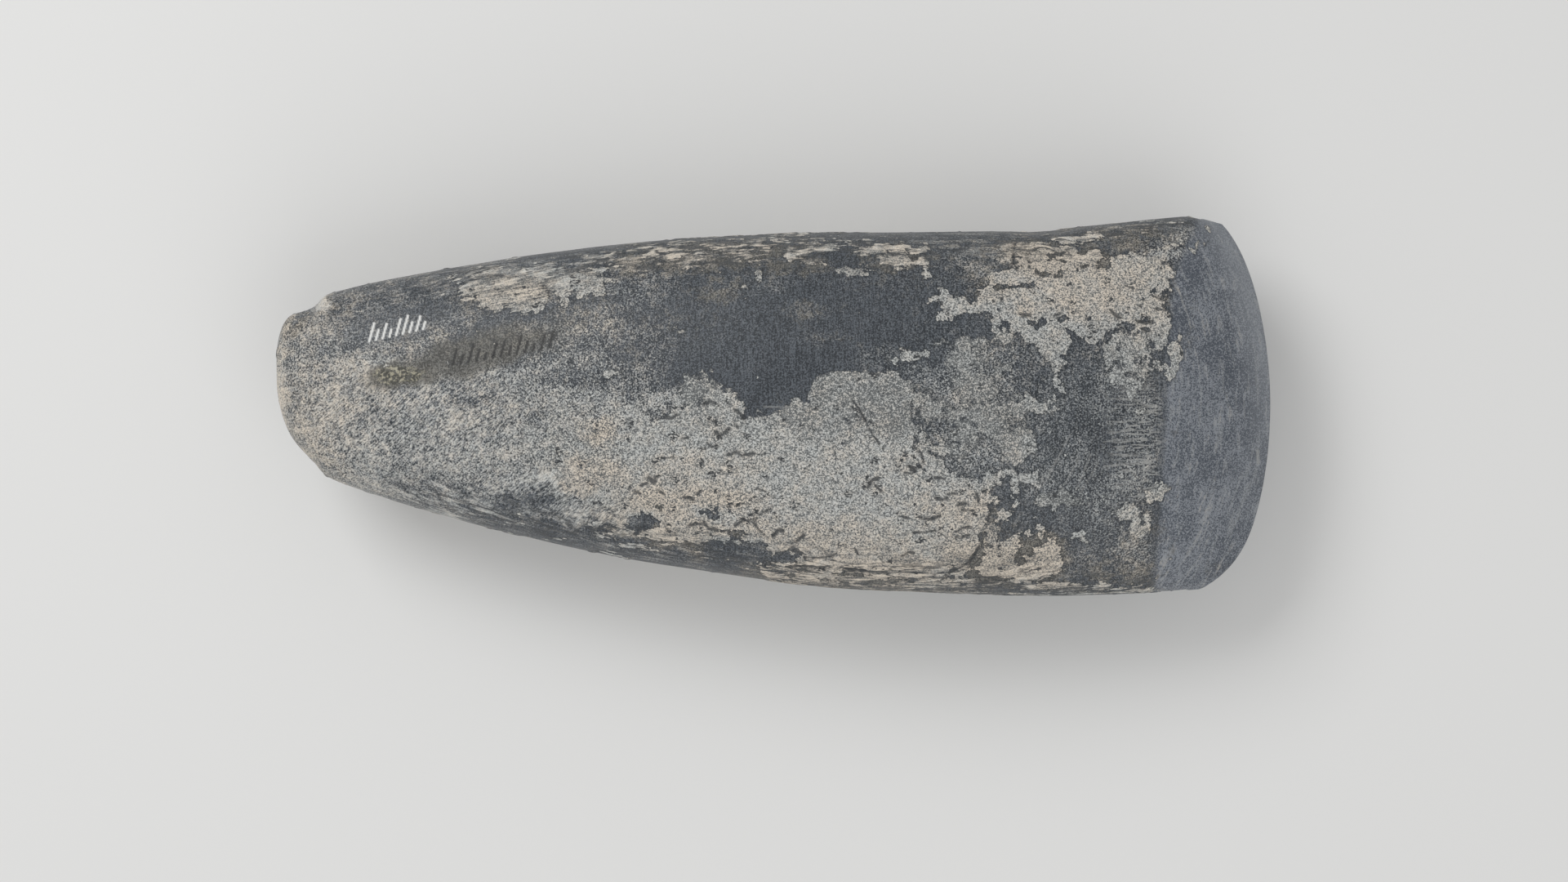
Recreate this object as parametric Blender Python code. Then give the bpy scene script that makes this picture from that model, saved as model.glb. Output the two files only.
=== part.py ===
"""A polished stone axe head, lying on one of its broad faces. Metres, +Z up.

+X runs from the butt to the cutting edge and +Y across the axe. The origin is under the middle
of the axe, on the surface that it lies on. The head is one stone: a loft of rings from the butt
to the cutting edge, with the flakes that were struck off it taken away as shallow round scars.
"""

import math

import bmesh
import bpy
from mathutils import Vector, noise

# Driving sizes
LENGTH = 0.1704  # from the butt to the middle of the cutting edge
WIDTH = 0.0651  # across the blade, from side to side
THICKNESS = 0.0385  # between the two ground flats
BUTT_ROUNDING = 0.0087  # length of the butt's round end
FACET_LENGTH = 0.0182  # of the ground blade facets, along the middle
FACET_THICKNESS = 0.0225  # of the blade where its facets begin
FACET_SKEW = math.radians(3.5)  # turn of the line where a facet begins
EDGE_RADIUS = 0.075  # bow of the cutting edge, seen from above
UPPER_CORNER_DROP = 0.0018  # how far the blade's corners fall behind that bow
LOWER_CORNER_DROP = 0.0050
EDGE_LAND = 0.0007  # blunt width of the cutting edge
GROUND_OFF = 0.0004  # stone ground off each broad face, which leaves it a small flat

# Shape, as shares of the sizes above
# Share of the length, then the upper and the lower side's reach as shares of the width
SIDES = (
    (0.000, 0.350, 0.150),
    (0.010, 0.319, 0.146),
    (0.025, 0.275, 0.144),
    (0.040, 0.266, 0.158),
    (0.048, 0.288, 0.182),
    (0.066, 0.301, 0.204),
    (0.100, 0.323, 0.236),
    (0.165, 0.357, 0.289),
    (0.230, 0.386, 0.334),
    (0.330, 0.419, 0.391),
    (0.430, 0.442, 0.436),
    (0.550, 0.455, 0.477),
    (0.670, 0.457, 0.494),
    (0.780, 0.467, 0.500),
    (0.860, 0.489, 0.496),
    (0.905, 0.500, 0.490),
    (0.930, 0.493, 0.485),
    (0.955, 0.476, 0.475),
)
# Share of the way from the butt to where the facets begin, then the share of the full thickness
THICKNESSES = (
    (0.00, 0.38),
    (0.06, 0.46),
    (0.13, 0.60),
    (0.21, 0.73),
    (0.34, 0.87),
    (0.48, 0.96),
    (0.61, 1.00),
    (0.73, 0.96),
    (0.86, 0.83),
    (0.94, 0.70),
    (1.00, FACET_THICKNESS / (THICKNESS + 2 * GROUND_OFF)),
)
UPPER_CORNER_SHARE = 0.478  # of the width: each corner's reach from the middle line
LOWER_CORNER_SHARE = 0.482
CORNER_POWER = 8.0  # how late along the edge a corner starts to fall back
BODY_POWER = 2.35  # of the superellipse in a section; 2 is an ellipse
BLADE_POWER = 3.0
FACET_CONVEXITY = 0.25  # share of a facet's fall that is a curve and not a straight slope
SKEW_RUN = 0.25  # share of the length over which the rings turn to the facets' line

# Unevenness that hand grinding left: wavelength and height, as shares of the length
SWELLS = ((0.141, 0.0013), (0.053, 0.0005))

# Flake scars: place along the length, angle round the section, radius of the scar, depth.
# All but the angle are shares of the length. 0 degrees is the upper side, 90 the top,
# 180 the lower side and 270 the underside.
SCARS = {
    "butt corner notch": (0.040, 20.0, 0.025, 0.0029),
    "butt under flake": (0.030, 285.0, 0.117, 0.0047),
    "butt lower nick": (0.050, 184.0, 0.025, 0.0018),
    "lower rim flake": (0.168, 172.0, 0.070, 0.0029),
    "upper side waist": (0.765, 6.0, 0.135, 0.0053),
    "upper side hollow": (0.800, 28.0, 0.176, 0.0035),
    "lower side flake": (0.590, 205.0, 0.200, 0.0053),
    "underside flake": (0.360, 320.0, 0.188, 0.0059),
}

# Mesh
BUTT_RINGS = 12
BODY_RINGS = 52
BODY_CROWDING = 1.2  # over 1, the body's rings stand closer together near the butt
FACET_RINGS = 10
HALF_RING = 33  # faces from one side to the other, over the top or underneath
FIRST_BUTT_TURN = math.radians(12)  # where round the butt's end its first ring stands
CURVE_SAMPLES = 120  # points along half a section before they are spaced evenly

# Finish
STONE_COLOUR = (0.19, 0.195, 0.19, 1.0)
STONE_ROUGHNESS = 0.62

FACET_START = LENGTH - FACET_LENGTH
UPPER_CORNER = UPPER_CORNER_SHARE * WIDTH
LOWER_CORNER = LOWER_CORNER_SHARE * WIDTH


def through(points, x):
    """The smooth curve through points (x, y), read at x; it runs straight on past its ends."""
    last = len(points) - 1
    slopes = []
    for i in range(last + 1):
        before = points[max(i - 1, 0)]
        after = points[min(i + 1, last)]
        slopes.append((after[1] - before[1]) / (after[0] - before[0]))
    if x <= points[0][0]:
        return points[0][1] + slopes[0] * (x - points[0][0])
    if x >= points[last][0]:
        return points[last][1] + slopes[last] * (x - points[last][0])
    i = next(k for k in range(last) if x < points[k + 1][0])
    (x0, y0), (x1, y1) = points[i], points[i + 1]
    span = x1 - x0
    t = (x - x0) / span
    rise = y0 + (y1 - y0) * t * t * (3 - 2 * t)
    return rise + span * t * (1 - t) * (slopes[i] * (1 - t) - slopes[i + 1] * t)


def butt_share(x):
    """How much of the full section is there, x from the butt's tip: its end is a quarter ellipse."""
    if x >= BUTT_ROUNDING:
        return 1.0
    return math.sqrt(max(0.0, 1 - (1 - x / BUTT_ROUNDING) ** 2))


def side_reaches(upper_x, lower_x):
    """The upper and the lower side's distance from the middle line."""
    upper = WIDTH * through([(s, u) for s, u, _ in SIDES], upper_x / LENGTH)
    lower = WIDTH * through([(s, w) for s, _, w in SIDES], lower_x / LENGTH)
    middle = 0.5 * (upper - lower)
    half = 0.5 * (upper + lower)
    share = butt_share(min(upper_x, lower_x))
    return middle + half * share, half * share - middle


def half_thickness(x):
    """Half the axe's thickness before its flats are ground, x from the butt's tip along the middle."""
    if x <= FACET_START:
        full = 0.5 * THICKNESS + GROUND_OFF
        return full * through(THICKNESSES, x / FACET_START) * butt_share(x)
    along = (x - FACET_START) / FACET_LENGTH
    slope = (1 - FACET_CONVEXITY) * (1 - along)
    curve = FACET_CONVEXITY * (1 - along * along)
    land = 0.5 * EDGE_LAND
    return land + (0.5 * FACET_THICKNESS - land) * (slope + curve)


def edge_drop(y):
    """How far behind the middle of the cutting edge it runs, y from the middle line."""
    corner, drop = (UPPER_CORNER, UPPER_CORNER_DROP) if y > 0 else (LOWER_CORNER, LOWER_CORNER_DROP)
    return y * y / (2 * EDGE_RADIUS) + drop * abs(y / corner) ** CORNER_POWER


def smooth_step(t):
    t = min(1.0, max(0.0, t))
    return t * t * (3 - 2 * t)


class Ring:
    """One section of the axe, bowed and skewed where it comes near the cutting edge."""

    def __init__(self, x):
        """x is where the ring crosses the middle line, from the butt's tip."""
        self.x = x
        self.bow = max(0.0, (x - FACET_START) / FACET_LENGTH)
        turned = smooth_step(1 + (x - FACET_START) / (SKEW_RUN * LENGTH))
        self.skew = math.tan(FACET_SKEW) * turned * (1 - self.bow)
        upper_x = x - self.bow * edge_drop(UPPER_CORNER)
        lower_x = x - self.bow * edge_drop(-LOWER_CORNER)
        self.upper, self.lower = side_reaches(upper_x, lower_x)
        self.thick = half_thickness(x)
        self.middle = 0.5 * (self.upper - self.lower)
        self.power = BODY_POWER + (BLADE_POWER - BODY_POWER) * self.bow

    def point(self, angle):
        """The point of the surface at this angle of the superellipse; 0 is the upper side."""
        across = math.copysign(abs(math.cos(angle)) ** (2 / self.power), math.cos(angle))
        rise = math.copysign(abs(math.sin(angle)) ** (2 / self.power), math.sin(angle))
        y = self.middle + 0.5 * (self.upper + self.lower) * across
        x = self.x - self.bow * edge_drop(y) + self.skew * y
        return Vector((x, y, self.thick * rise))

    def half(self, first_angle):
        """Evenly spaced points over the top (first_angle 0) or back underneath (first_angle pi)."""
        samples = [self.point(first_angle + math.pi * i / CURVE_SAMPLES) for i in range(CURVE_SAMPLES + 1)]
        runs = [0.0]
        for a, b in zip(samples, samples[1:]):
            runs.append(runs[-1] + (b - a).length)
        points = []
        k = 0
        for i in range(HALF_RING):
            wanted = runs[-1] * i / HALF_RING
            while runs[k + 1] < wanted:
                k += 1
            t = (wanted - runs[k]) / (runs[k + 1] - runs[k])
            points.append(samples[k].lerp(samples[k + 1], t))
        return points

    def points(self):
        return self.half(0.0) + self.half(math.pi)


def ring_places():
    """Where the rings stand along the middle line, closer together round the butt's end."""
    places = []
    for i in range(BUTT_RINGS):
        turn = FIRST_BUTT_TURN + (0.5 * math.pi - FIRST_BUTT_TURN) * i / BUTT_RINGS
        places.append(BUTT_ROUNDING * (1 - math.cos(turn)))
    body = FACET_START - BUTT_ROUNDING
    places += [BUTT_ROUNDING + body * (i / BODY_RINGS) ** BODY_CROWDING for i in range(BODY_RINGS)]
    places += [FACET_START + FACET_LENGTH * i / FACET_RINGS for i in range(FACET_RINGS + 1)]
    return places


def surface_normal(x, angle):
    """The surface's outward direction where the ring at x has this angle."""
    step = 0.002 * LENGTH
    turn = math.radians(2)
    here = Ring(x)
    along = Ring(x + step).point(angle) - Ring(x - step).point(angle)
    around = here.point(angle + turn) - here.point(angle - turn)
    normal = along.cross(around).normalized()
    outward = here.point(angle) - Vector((here.x, here.middle, 0.0))
    return normal if normal.dot(outward) > 0 else -normal


def scar_balls():
    """Each scar's ball, whose centre lies outside the stone so that it bites as deep as stated."""
    balls = []
    for place, degrees, radius, depth in SCARS.values():
        x, angle = place * LENGTH, math.radians(degrees)
        normal = surface_normal(x, angle)
        centre = Ring(x).point(angle) + normal * (radius - depth) * LENGTH
        balls.append((centre, radius * LENGTH, -normal))
    return balls


def outside_ball(point, ball):
    """The point, or where it leaves the ball on its way into the stone if it lies in it."""
    centre, radius, inward = ball
    reach = point - centre
    if reach.length >= radius:
        return point
    along = reach.dot(inward)
    return point + inward * (math.sqrt(along * along + radius * radius - reach.length_squared) - along)


def uneven(point, outward):
    """The point moved in or out by the low swells of a surface ground by hand."""
    place = point / LENGTH
    height = sum(size * LENGTH * noise.noise(place / wave) for wave, size in SWELLS)
    return point + outward * height


def ground(point):
    """The point, no further out than the flats ground on the two broad faces."""
    limit = 0.5 * THICKNESS
    return Vector((point.x, point.y, min(limit, max(-limit, point.z))))


def axe_mesh():
    """The whole head as a mesh of four-sided faces, its middle line at z = 0."""
    mesh = bmesh.new()
    balls = scar_balls()
    rings = []
    for x in ring_places():
        ring = Ring(x)
        corners = []
        for surface in ring.points():
            outward = (surface - Vector((surface.x, ring.middle, 0.0))).normalized()
            point = uneven(surface, outward * (1 - ring.bow))
            for ball in balls:
                point = outside_ball(point, ball)
            corners.append(mesh.verts.new(ground(point)))
        rings.append(corners)
    around = 2 * HALF_RING
    for a, b in zip(rings, rings[1:]):
        for i in range(around):
            j = (i + 1) % around
            mesh.faces.new((a[i], a[j], b[j], b[i]))
    for i in range(HALF_RING):
        top, next_top = i, i + 1
        under, next_under = (around - i) % around, around - i - 1
        for ring in (rings[0], rings[-1]):
            corners = dict.fromkeys((ring[top], ring[next_top], ring[next_under], ring[under]))
            mesh.faces.new(tuple(corners))
    bmesh.ops.recalc_face_normals(mesh, faces=mesh.faces)
    return mesh


def place_on_origin(mesh):
    """Moves the mesh so that the middle of its box stands over the origin, with its underside at z = 0."""
    low = Vector([min(v.co[k] for v in mesh.verts) for k in range(3)])
    high = Vector([max(v.co[k] for v in mesh.verts) for k in range(3)])
    shift = Vector((-0.5 * (low.x + high.x), -0.5 * (low.y + high.y), -low.z))
    bmesh.ops.translate(mesh, verts=mesh.verts, vec=shift)


def stone_material():
    material = bpy.data.materials.new("stone")
    material.use_nodes = True
    shader = material.node_tree.nodes["Principled BSDF"]
    shader.inputs["Base Color"].default_value = STONE_COLOUR
    shader.inputs["Roughness"].default_value = STONE_ROUGHNESS
    shader.inputs["Metallic"].default_value = 0.0
    return material


def main():
    for old in list(bpy.data.objects):
        bpy.data.objects.remove(old)
    mesh = axe_mesh()
    place_on_origin(mesh)
    data = bpy.data.meshes.new("axe_head")
    mesh.to_mesh(data)
    mesh.free()
    data.shade_smooth()
    data.materials.append(stone_material())
    head = bpy.data.objects.new("axe_head", data)
    bpy.context.scene.collection.objects.link(head)


main()
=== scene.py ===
"""The looks of a polished stone axe head that lies on one of its broad faces.

The stone's surface is the frame's solid, made finer. Crust, cracks and scratches are moved into its
vertices; what each spot is made of, and where painted highlight and shade lie, are kept as attributes
that the material reads. Patches are placed by their outlines in the photograph, whose pixels are PIXEL
wide.
"""

import math

import bmesh
import bpy
import numpy as np
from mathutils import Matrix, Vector
from mathutils.bvhtree import BVHTree


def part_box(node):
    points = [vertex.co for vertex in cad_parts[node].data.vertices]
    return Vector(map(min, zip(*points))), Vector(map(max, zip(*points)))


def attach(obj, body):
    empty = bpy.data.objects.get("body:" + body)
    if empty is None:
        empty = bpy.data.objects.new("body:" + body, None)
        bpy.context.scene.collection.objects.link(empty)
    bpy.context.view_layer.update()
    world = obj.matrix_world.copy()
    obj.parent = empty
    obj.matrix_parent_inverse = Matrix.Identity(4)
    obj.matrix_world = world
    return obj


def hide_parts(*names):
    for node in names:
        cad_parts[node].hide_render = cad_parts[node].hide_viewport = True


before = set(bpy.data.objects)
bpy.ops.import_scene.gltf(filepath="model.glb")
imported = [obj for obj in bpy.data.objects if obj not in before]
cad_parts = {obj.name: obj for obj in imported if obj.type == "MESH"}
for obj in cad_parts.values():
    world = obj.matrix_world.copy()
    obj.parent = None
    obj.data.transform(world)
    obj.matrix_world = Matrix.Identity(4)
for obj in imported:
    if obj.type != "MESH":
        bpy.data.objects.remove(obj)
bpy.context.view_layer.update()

MM = 0.001

# How the photograph shows the axe
PIXEL = 0.14e-3  # metres of the axe at its outline's height
IMAGE_MIDDLE = (960.0, 540.0)
IMAGE_WIDTH = 1920
AXE_MIDDLE = (947.5, 497.0)
LENS = 85.0
SENSOR = 36.0
LOW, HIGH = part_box("axe_head")
OUTLINE_HEIGHT = 0.5 * (LOW.z + HIGH.z)
CAMERA_X = (IMAGE_MIDDLE[0] - AXE_MIDDLE[0]) * PIXEL
CAMERA_Y = (AXE_MIDDLE[1] - IMAGE_MIDDLE[1]) * PIXEL
CAMERA_RISE = IMAGE_WIDTH * PIXEL * LENS / SENSOR  # over the outline's height
SHOWN_BETWEEN = (0.36, 0.52)  # shares of the height between which the photograph comes to show it

# Light and floor
DAYLIGHT = 0.5
FLOOR_SIZE = 6.0  # metres
FLOOR_GAP = 0.02 * MM  # under the stone
FLOOR_ROUGHNESS = 0.9

# Mesh
WELD = 1e-6  # metres between vertices that become one
LONGEST_EDGE = 4.0 * MM  # before the surface is divided
QUAD_BEND = math.radians(40)  # most between two triangles that become one face
QUAD_SKEW = math.radians(60)  # most that such a face's corners are off a right angle
CREASE_FROM = math.radians(35)
CREASE = 0.7  # how sharp such edges stay when the surface is divided
SMOOTHEST = 3  # divisions of the surface that all finer vertices are put on
FINER_ABOVE = 0.34  # share of the height above which faces are halved
FINEST_ABOVE = 0.5  # share of the height above which they are cut again
BORDER = 0.27  # crust values, of either sign, up to which they are halved again
MARK_MARGIN = 3.0  # pixels beside a mark in which they are cut in three

# Crust: outlines in the photograph, how many pixels wide their mottled border is, and how whole
# the crust is inside, from -1, bare, to 1, whole
CRUST = {
    "lower middle": (6, 1.0, (
        (775, 560), (785, 520), (805, 505), (835, 500), (862, 488), (880, 475), (897, 480), (905, 490),
        (912, 497), (911, 510), (935, 507), (968, 503), (966, 492), (975, 487), (990, 486), (999, 474),
        (1003, 464), (1027, 456), (1073, 453), (1107, 450), (1118, 465), (1116, 490), (1114, 515),
        (1116, 545), (1125, 575), (1145, 590), (1178, 594), (1200, 588), (1204, 600), (1206, 640),
        (1200, 668), (1190, 688), (1174, 699), (1150, 705), (1110, 708), (1040, 706), (985, 698),
        (945, 688), (950, 668), (925, 660), (890, 668), (860, 662), (815, 668), (790, 655), (775, 640),
        (768, 600),
    )),
    "top granular": (12, 0.45, (
        (815, 505), (828, 484), (848, 458), (870, 453), (884, 474), (872, 495),
    )),
    "left fringe": (30, 0.45, (
        (640, 520), (700, 500), (742, 505), (775, 498), (800, 505), (800, 650), (770, 668), (745, 655),
        (728, 610), (690, 600), (650, 570),
    )),
    "right fringe": (12, 0.45, (
        (1100, 455), (1120, 465), (1126, 490), (1122, 515), (1140, 545), (1160, 570), (1188, 592),
        (1205, 608), (1215, 630), (1196, 655), (1185, 685), (1170, 703), (1110, 708), (1090, 600),
    )),
    "upper right": (8, 0.85, (
        (1186, 372), (1196, 360), (1208, 350), (1208, 338), (1226, 334), (1250, 330), (1300, 328),
        (1345, 322), (1365, 317), (1385, 315), (1400, 314), (1424, 316), (1430, 328), (1440, 340),
        (1434, 352), (1430, 366), (1432, 382), (1424, 396), (1380, 396), (1362, 404), (1345, 415),
        (1330, 418), (1312, 408), (1302, 404), (1303, 440), (1305, 480), (1298, 482), (1292, 450),
        (1276, 438), (1265, 427), (1255, 413), (1240, 416), (1226, 415), (1217, 402), (1212, 388),
        (1190, 384),
    )),
    "upper right corner": (8, 0.75, (
        (1386, 392), (1424, 392), (1426, 428), (1400, 426), (1384, 414),
    )),
    "upper right tail": (7, 0.85, (
        (1140, 370), (1150, 364), (1146, 350), (1156, 350), (1166, 364), (1200, 368), (1204, 380),
        (1180, 382), (1160, 388), (1146, 394), (1139, 388), (1150, 380),
    )),
    "upper right rim": (9, 0.65, (
        (1241, 302), (1262, 299), (1290, 300), (1300, 290), (1345, 284), (1350, 300), (1345, 325),
        (1300, 330), (1262, 332), (1244, 330),
    )),
    "right granular": (12, 0.40, (
        (1350, 415), (1380, 408), (1405, 428), (1412, 445), (1402, 462), (1404, 478), (1385, 482),
        (1362, 470), (1352, 450),
    )),
    "upper left": (8, 0.8, (
        (668, 343), (690, 334), (725, 329), (748, 336), (736, 356), (712, 368), (690, 368), (665, 372),
    )),
    "upper left streaks": (12, 0.55, (
        (558, 346), (600, 333), (640, 330), (690, 330), (690, 368), (662, 373), (630, 379), (600, 378),
        (575, 366),
    )),
    "upper rim": (12, -0.1, (
        (745, 325), (770, 308), (830, 298), (900, 294), (985, 291), (1030, 293), (1000, 308), (960, 315),
        (900, 318), (840, 325), (790, 330),
    )),
    "upper middle": (8, 0.65, (
        (1053, 305), (1075, 299), (1110, 303), (1128, 302), (1138, 318), (1130, 330), (1105, 328),
        (1085, 318), (1065, 315),
    )),
    "lower right": (6, 0.8, (
        (1200, 670), (1212, 662), (1232, 655), (1245, 660), (1249, 674), (1258, 682), (1263, 672),
        (1275, 661), (1290, 657), (1300, 668), (1304, 686), (1296, 698), (1286, 706), (1270, 708),
        (1240, 706), (1195, 706), (1196, 690),
    )),
    "low band": (6, 0.3, (
        (925, 693), (960, 690), (1040, 700), (1110, 708), (1170, 706), (1240, 712), (1300, 708),
        (1330, 715), (1400, 722), (1420, 727), (1300, 735), (1180, 735), (1080, 731), (1000, 726),
        (940, 716),
    )),
}
# Small crust spots: middle, half length, half width, turn in degrees, mottled border
CRUST_SPOTS = (
    (1121, 436, 15, 9, 0, 8), (1099, 440, 7, 4, 0, 5), (1267, 495, 24, 9, 20, 8),
    (1182, 423, 13, 6, 0, 8), (1320, 659, 10, 9, 0, 5), (1272, 637, 3, 4, 0, 3), (1275, 650, 6, 5, 0, 4),
    (1257, 657, 4, 3, 0, 3), (1390, 640, 21, 10, 50, 10), (1410, 607, 14, 7, -35, 9),
    (1298, 614, 24, 9, 0, 9), (1242, 590, 5, 20, 0, 7), (1230, 578, 8, 8, 0, 8), (990, 321, 12, 4, 20, 8),
    (1046, 332, 12, 3, 10, 7), (1126, 338, 7, 2, 10, 3), (935, 341, 8, 5, -30, 4),
    (1350, 307, 3, 8, 0, 3), (757, 662, 13, 3, 20, 4), (755, 458, 9, 3, -20, 6),
    (1185, 610, 12, 12, 0, 5), (1200, 626, 14, 12, 0, 6), (1214, 588, 12, 13, 0, 8),
    (1213, 614, 13, 11, 0, 7), (1231, 632, 10, 8, 0, 6), (1212, 650, 13, 13, 0, 12),
    (1442, 300, 3, 2, 0, 2), (1456, 306, 4, 2, 30, 2), (1448, 291, 3, 3, 0, 2), (1466, 298, 2, 4, 20, 2),
    (1479, 278, 4, 5, 0, 2), (1494, 282, 3, 3, 0, 2), (1488, 304, 3, 2, 0, 2), (1432, 308, 4, 3, 0, 2),
    (1187, 440, 20, 16, 0, 12), (1192, 474, 24, 26, 0, 12), (1250, 546, 26, 24, 0, 12),
    (1150, 505, 30, 12, 20, 12), (1208, 520, 30, 12, 30, 12), (1230, 500, 25, 14, 0, 10),
    (1166, 552, 20, 12, 0, 9), (1228, 452, 10, 10, 0, 8), (1180, 420, 20, 6, 0, 8),
    (1437, 434, 27, 8, -70, 3), (1176, 538, 12, 28, 0, 8), (1299, 458, 5, 18, 0, 6),
    (698, 352, 18, 12, 0, 6), (676, 352, 12, 12, 0, 7), (735, 338, 12, 8, 0, 5), (795, 324, 14, 5, 0, 5),
    (848, 484, 12, 10, 0, 6), (1358, 445, 9, 10, 0, 6), (1148, 351, 8, 4, 20, 4), (1141, 368, 6, 5, 0, 4),
    (1153, 388, 9, 7, 0, 4), (1399, 500, 3, 9, 0, 6), (1262, 586, 12, 7, 0, 9),
)
# Bare spots inside the crust, given as above
BARE_SPOTS = (
    (782, 638, 24, 11, -18, 10), (880, 627, 26, 5, 0, 6), (904, 652, 15, 6, 20, 6),
    (914, 674, 34, 9, 6, 8), (1247, 352, 16, 4, -8, 5), (1282, 336, 16, 6, 0, 5),
    (1274, 396, 24, 3, 0, 6), (1397, 443, 8, 7, 0, 6), (1374, 404, 15, 7, -30, 5),
    (1160, 520, 10, 9, 0, 10), (1150, 438, 14, 13, 0, 9), (966, 678, 19, 12, 0, 5),
    (1140, 560, 14, 5, 45, 6), (1201, 550, 10, 16, 15, 8), (1355, 413, 16, 6, -30, 6),
    (1178, 585, 16, 6, -5, 7), (1217, 623, 6, 4, 0, 4), (1117, 500, 8, 8, 0, 8), (1255, 470, 9, 18, 0, 8),
    (1232, 440, 10, 8, 0, 6), (1235, 520, 8, 5, 30, 4), (1402, 408, 16, 2, 8, 3),
    (1408, 424, 14, 2, 0, 3), (1326, 307, 26, 5, -5, 5), (1230, 722, 46, 6, 0, 6),
    (780, 664, 40, 7, 6, 8), (1250, 676, 5, 12, 0, 6),
)
CRUST_EDGE = (-0.15, 0.25)  # crust values between which it rises from the stone

# Cracks, scratches and strokes: points in the photograph and half a width in pixels
CRACKS = (
    (((1043, 490), (1052, 500), (1056, 508), (1063, 521), (1068, 532), (1077, 543)), 1.1),
    (((1118, 546), (1128, 554), (1131, 566)), 1.3),
    # The next crack is a real groove along the crust's lower right edge, and its dark colour there is
    # painted shadow
    (((1158, 703), (1178, 694), (1192, 683), (1199, 668)), 1.3),
    (((944, 623), (930, 630), (923, 640), (930, 649), (936, 654)), 1.2),
    (((1246, 292), (1241, 305), (1242, 322), (1247, 332)), 1.0),
    (((814, 511), (822, 512), (829, 508)), 1.9), (((876, 529), (882, 533), (888, 530), (893, 526)), 2.2),
    (((866, 543), (872, 547), (877, 545)), 1.5), (((835, 537), (843, 536)), 1.5),
    (((893, 557), (901, 553), (908, 557), (922, 556)), 1.5), (((932, 557), (939, 555)), 1.3),
    (((811, 561), (825, 560)), 1.2), (((795, 586), (800, 591), (804, 584)), 2.1),
    (((786, 594), (793, 592)), 1.5), (((771, 600), (773, 594)), 1.4), (((778, 602), (784, 604)), 1.4),
    (((808, 602), (813, 605)), 1.5), (((854, 605), (858, 601)), 1.8), (((838, 609), (849, 611)), 1.8),
    (((899, 518), (904, 523)), 1.4), (((900, 502), (908, 508), (912, 513)), 1.6),
    (((862, 495), (870, 492), (876, 494)), 1.7), (((902, 619), (910, 616)), 1.3),
    (((844, 643), (853, 641), (859, 642)), 1.5), (((862, 640), (868, 647), (878, 649)), 2.0),
    (((900, 643), (905, 641), (911, 637)), 2.0), (((1146, 610), (1153, 612), (1160, 610)), 1.8),
    (((1160, 605), (1171, 604)), 1.5), (((1113, 570), (1120, 574), (1127, 572)), 2.1),
    (((1108, 579), (1117, 580)), 1.4), (((1145, 585), (1157, 586)), 1.4),
    (((1102, 632), (1113, 634)), 1.7), (((1128, 635), (1140, 636), (1151, 632)), 1.7),
    (((1119, 652), (1132, 652), (1145, 650)), 1.4), (((1171, 651), (1180, 646), (1188, 645)), 1.5),
    (((1170, 658), (1187, 655)), 1.4), (((1173, 618), (1185, 616)), 1.5),
    (((1178, 625), (1192, 625)), 1.4), (((1196, 605), (1198, 613)), 2.0),
    (((1210, 618), (1215, 626)), 1.7), (((1105, 681), (1112, 676), (1119, 677)), 1.5),
    (((985, 682), (1002, 683), (1018, 681), (1025, 677)), 1.1), (((1047, 673), (1051, 679)), 1.6),
    (((1063, 597), (1068, 588), (1075, 585)), 1.9), (((1072, 595), (1079, 601)), 1.8),
    (((927, 598), (937, 602)), 1.5), (((946, 657), (954, 648), (958, 650)), 1.7),
    (((975, 663), (984, 656)), 1.7), (((962, 694), (985, 692), (1010, 695)), 1.1),
    (((1030, 695), (1060, 698)), 1.3), (((1249, 385), (1261, 386)), 2.0),
    (((1290, 388), (1299, 384)), 1.6), (((1378, 350), (1387, 353)), 1.2),
    (((1390, 392), (1402, 396), (1413, 392)), 1.5), (((1399, 402), (1407, 408)), 1.6),
    (((1410, 362), (1421, 366)), 1.3), (((1416, 378), (1428, 380)), 1.3),
    (((1360, 380), (1369, 388)), 1.6),
)
SCRATCHES = (
    (((1311, 531), (1279, 592)), 0.7), (((1336, 556), (1318, 600)), 0.6),
    (((1322, 560), (1300, 600)), 0.6), (((1345, 566), (1322, 606)), 0.6),
    (((1250, 628), (1242, 642)), 0.6), (((1332, 612), (1334, 620)), 0.9),
    (((1345, 475), (1358, 488), (1385, 490)), 0.6), (((1366, 595), (1408, 588)), 0.7),
    (((1352, 571), (1410, 565)), 0.7), (((1360, 556), (1412, 558)), 0.6),
    (((1352, 541), (1395, 538)), 0.6), (((1232, 566), (1245, 580)), 0.6), (((968, 499), (935, 498)), 0.7),
    (((1540, 552), (1541, 567)), 1.8),
)
# A row of painted strokes and a row of pencilled ones: first and last foot, strokes, height, half
# width, and each stroke's share of that height
PAINTED_ROW = ((452, 418), (518, 403), 9, 22, 1.35, (1.0, 0.55, 0.8, 0.4, 0.9))
PENCILLED_ROW = ((554, 447), (672, 426), 13, 22, 1.5, (0.9, 0.5, 1.0, 0.6, 0.35, 0.8))
STROKE_LEAN = 0.28
# Depths in a mark, in pixels, between which it comes to show
CRACK_EDGE = (-0.9, 0.5)
SCRATCH_EDGE = (-0.7, 0.4)
STROKE_EDGE = (-0.6, 0.4)

# Soft brushes: middle, half length, half width, turn in degrees, level. Later ones lie over
# earlier ones, and each begins and is whole at these shares of its way in.
BRUSH_EDGE = (-0.25, 0.55)
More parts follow.
